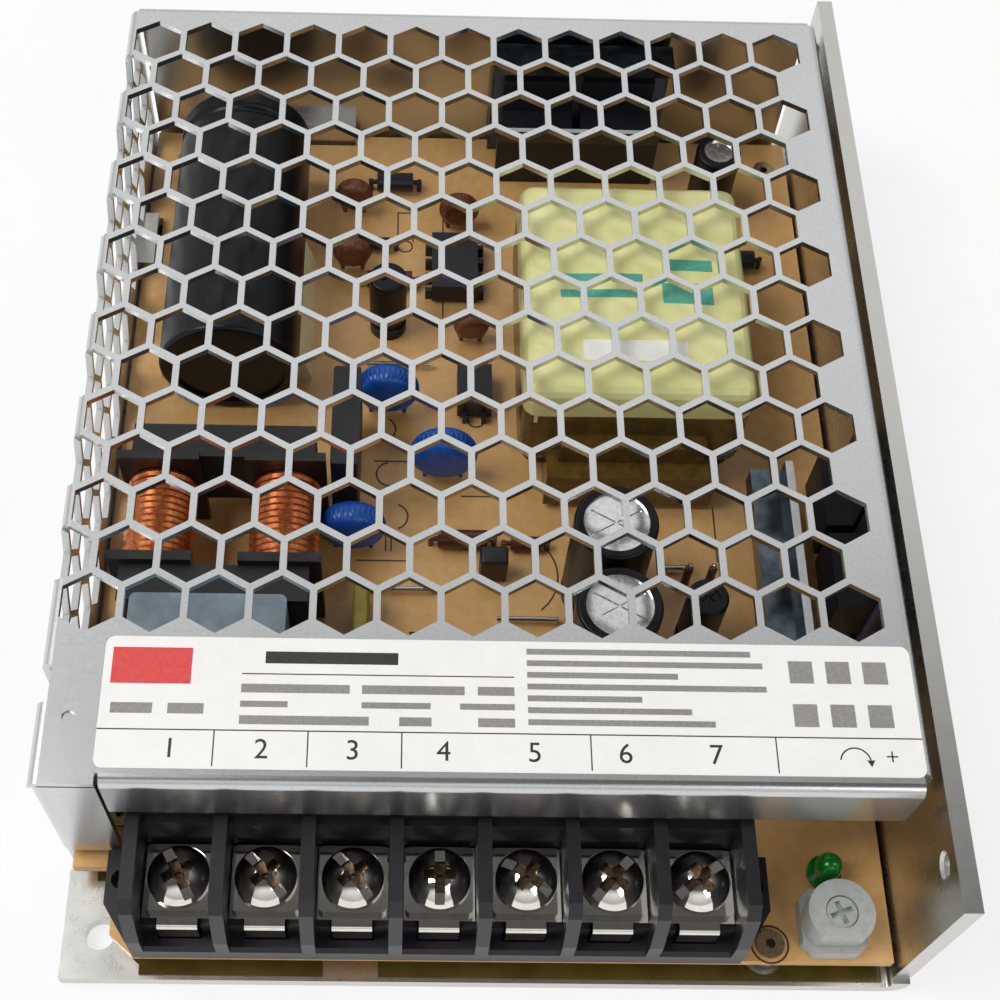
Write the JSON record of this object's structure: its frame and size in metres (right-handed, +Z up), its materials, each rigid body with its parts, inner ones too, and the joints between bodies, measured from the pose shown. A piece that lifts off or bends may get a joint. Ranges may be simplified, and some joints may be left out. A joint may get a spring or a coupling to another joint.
{
  "type": "switching power supply",
  "caption": "Flat enclosed switching power supply: folded base, hexagon-mesh folded cover, screw terminal block, status lamp and trimmer at the front, populated circuit board inside.",
  "frame": {"origin": "middle of the bottom face of the case", "axes": "+Z up through the cover, +Y towards the rear, away from the terminal block, +X to the right towards the solid side wall"},
  "size_m": [0.097, 0.129, 0.03],
  "materials": {
    "aluminium_base": "brushed sheet",
    "galvanised_steel": "galvanised sheet, satin",
    "zinc_hardware": "zinc plated",
    "label_film": "printed label, satin",
    "yellow_film": "polyester film",
    "paper_board": "phenolic board",
    "brass_rivet": "dull",
    "black_nylon": "moulded",
    "nickel_plate": "bright nickel",
    "green_lens": "diffused lens",
    "pale_nylon": "moulded",
    "grey_nylon": "moulded",
    "brown_sleeve": "fuse cap",
    "green_coat": "epoxy coat",
    "blue_coat": "epoxy coat",
    "grey_blue_case": "moulded",
    "ferrite": "ferrite",
    "bobbin_plastic": "moulded",
    "copper_wire": "enamelled copper",
    "package_epoxy": "moulded epoxy",
    "rectifier_epoxy": "moulded epoxy",
    "black_sleeve": "shrink sleeve",
    "pale_glue": "silicone",
    "yellow_tape": "polyester tape",
    "olive_bobbin": "phenolic",
    "bare_aluminium": "extruded",
    "blue_grey_metal": "galvanised",
    "grey_pad": "silicone pad",
    "can_sleeve": "shrink sleeve",
    "diode_glass": "moulded",
    "resistor_coat": "lacquer",
    "brown_coat": "epoxy coat",
    "tinned_wire": "tinned"
  },
  "bodies": {
    "case": {"base_chassis": "aluminium_base", "board_standoffs": "zinc_hardware", "mesh_cover": "galvanised_steel", "cover_screws": "zinc_hardware", "front_label": "label_film", "insulation_film": "yellow_film", "circuit_board": "paper_board", "board_rivets": "brass_rivet", "terminal_housing": "black_nylon", "terminal_contacts": "nickel_plate", "power_led": "green_lens", "trimmer_base": "pale_nylon", "input_fuse": "brown_sleeve", "inrush_thermistor": "green_coat", "surge_varistor": "blue_coat", "x_capacitor": "grey_blue_case", "choke_core": "ferrite", "choke_bobbin": "bobbin_plastic", "choke_coils": "copper_wire", "bridge_rectifier": "package_epoxy", "y_capacitors": "blue_coat", "bulk_capacitor": "black_sleeve", "glue_bead": "pale_glue", "primary_transistors": "package_epoxy", "transistor_clip": "zinc_hardware", "rear_heatsink": "bare_aluminium", "controller_chip": "package_epoxy", "transformer_core": "ferrite", "transformer_bobbin": "olive_bobbin", "transformer_tape": "yellow_tape", "optocoupler": "package_epoxy", "output_rectifiers": "rectifier_epoxy", "thermal_pads": "grey_pad", "rectifier_bar": "blue_grey_metal", "output_capacitors": "can_sleeve", "output_choke": "copper_wire", "small_capacitors": "can_sleeve", "signal_diodes": "diode_glass", "film_resistors": "resistor_coat", "ceramic_capacitors": "brown_coat", "jumper_wires": "tinned_wire"},
    "clamp_1": {"clamp_plate_1": "nickel_plate"},
    "screw_1": {"terminal_screw_1": "nickel_plate"},
    "clamp_2": {"clamp_plate_2": "nickel_plate"},
    "screw_2": {"terminal_screw_2": "nickel_plate"},
    "clamp_3": {"clamp_plate_3": "nickel_plate"},
    "screw_3": {"terminal_screw_3": "nickel_plate"},
    "clamp_4": {"clamp_plate_4": "nickel_plate"},
    "screw_4": {"terminal_screw_4": "nickel_plate"},
    "clamp_5": {"clamp_plate_5": "nickel_plate"},
    "screw_5": {"terminal_screw_5": "nickel_plate"},
    "clamp_6": {"clamp_plate_6": "nickel_plate"},
    "screw_6": {"terminal_screw_6": "nickel_plate"},
    "clamp_7": {"clamp_plate_7": "nickel_plate"},
    "screw_7": {"terminal_screw_7": "nickel_plate"},
    "trimmer_rotor": {"trimmer_rotor": "grey_nylon"}
  },
  "joints": [
    {"name": "clamp_1_lift", "type": "slide", "parent": "case", "child": "clamp_1", "axis": [0, 0, 1], "range_m": [0, 0.003]},
    {"name": "screw_1_turn", "type": "hinge", "parent": "clamp_1", "child": "screw_1", "pos_m": [-0.034, -0.0564, 0.0134], "axis": [0, 0, 1], "range_deg": [0, 1800]},
    {"name": "clamp_2_lift", "type": "slide", "parent": "case", "child": "clamp_2", "axis": [0, 0, 1], "range_m": [0, 0.003]},
    {"name": "screw_2_turn", "type": "hinge", "parent": "clamp_2", "child": "screw_2", "pos_m": [-0.0245, -0.0564, 0.0134], "axis": [0, 0, 1], "range_deg": [0, 1800]},
    {"name": "clamp_3_lift", "type": "slide", "parent": "case", "child": "clamp_3", "axis": [0, 0, 1], "range_m": [0, 0.003]},
    {"name": "screw_3_turn", "type": "hinge", "parent": "clamp_3", "child": "screw_3", "pos_m": [-0.015, -0.0564, 0.0134], "axis": [0, 0, 1], "range_deg": [0, 1800]},
    {"name": "clamp_4_lift", "type": "slide", "parent": "case", "child": "clamp_4", "axis": [0, 0, 1], "range_m": [0, 0.003]},
    {"name": "screw_4_turn", "type": "hinge", "parent": "clamp_4", "child": "screw_4", "pos_m": [-0.0055, -0.0564, 0.0134], "axis": [0, 0, 1], "range_deg": [0, 1800]},
    {"name": "clamp_5_lift", "type": "slide", "parent": "case", "child": "clamp_5", "axis": [0, 0, 1], "range_m": [0, 0.003]},
    {"name": "screw_5_turn", "type": "hinge", "parent": "clamp_5", "child": "screw_5", "pos_m": [0.004, -0.0564, 0.0134], "axis": [0, 0, 1], "range_deg": [0, 1800]},
    {"name": "clamp_6_lift", "type": "slide", "parent": "case", "child": "clamp_6", "axis": [0, 0, 1], "range_m": [0, 0.003]},
    {"name": "screw_6_turn", "type": "hinge", "parent": "clamp_6", "child": "screw_6", "pos_m": [0.0135, -0.0564, 0.0134], "axis": [0, 0, 1], "range_deg": [0, 1800]},
    {"name": "clamp_7_lift", "type": "slide", "parent": "case", "child": "clamp_7", "axis": [0, 0, 1], "range_m": [0, 0.003]},
    {"name": "screw_7_turn", "type": "hinge", "parent": "clamp_7", "child": "screw_7", "pos_m": [0.023, -0.0564, 0.0134], "axis": [0, 0, 1], "range_deg": [0, 1800]},
    {"name": "trimmer_turn", "type": "hinge", "parent": "case", "child": "trimmer_rotor", "pos_m": [0.0391, -0.0589, 0.0112], "axis": [0, 0, 1], "range_deg": [-120, 120]}
  ],
  "couplings": [
    {"joint": "screw_1_turn", "follows": "clamp_1_lift", "rad_per_m": 10472},
    {"joint": "screw_2_turn", "follows": "clamp_2_lift", "rad_per_m": 10472},
    {"joint": "screw_3_turn", "follows": "clamp_3_lift", "rad_per_m": 10472},
    {"joint": "screw_4_turn", "follows": "clamp_4_lift", "rad_per_m": 10472},
    {"joint": "screw_5_turn", "follows": "clamp_5_lift", "rad_per_m": 10472},
    {"joint": "screw_6_turn", "follows": "clamp_6_lift", "rad_per_m": 10472},
    {"joint": "screw_7_turn", "follows": "clamp_7_lift", "rad_per_m": 10472}
  ]
}
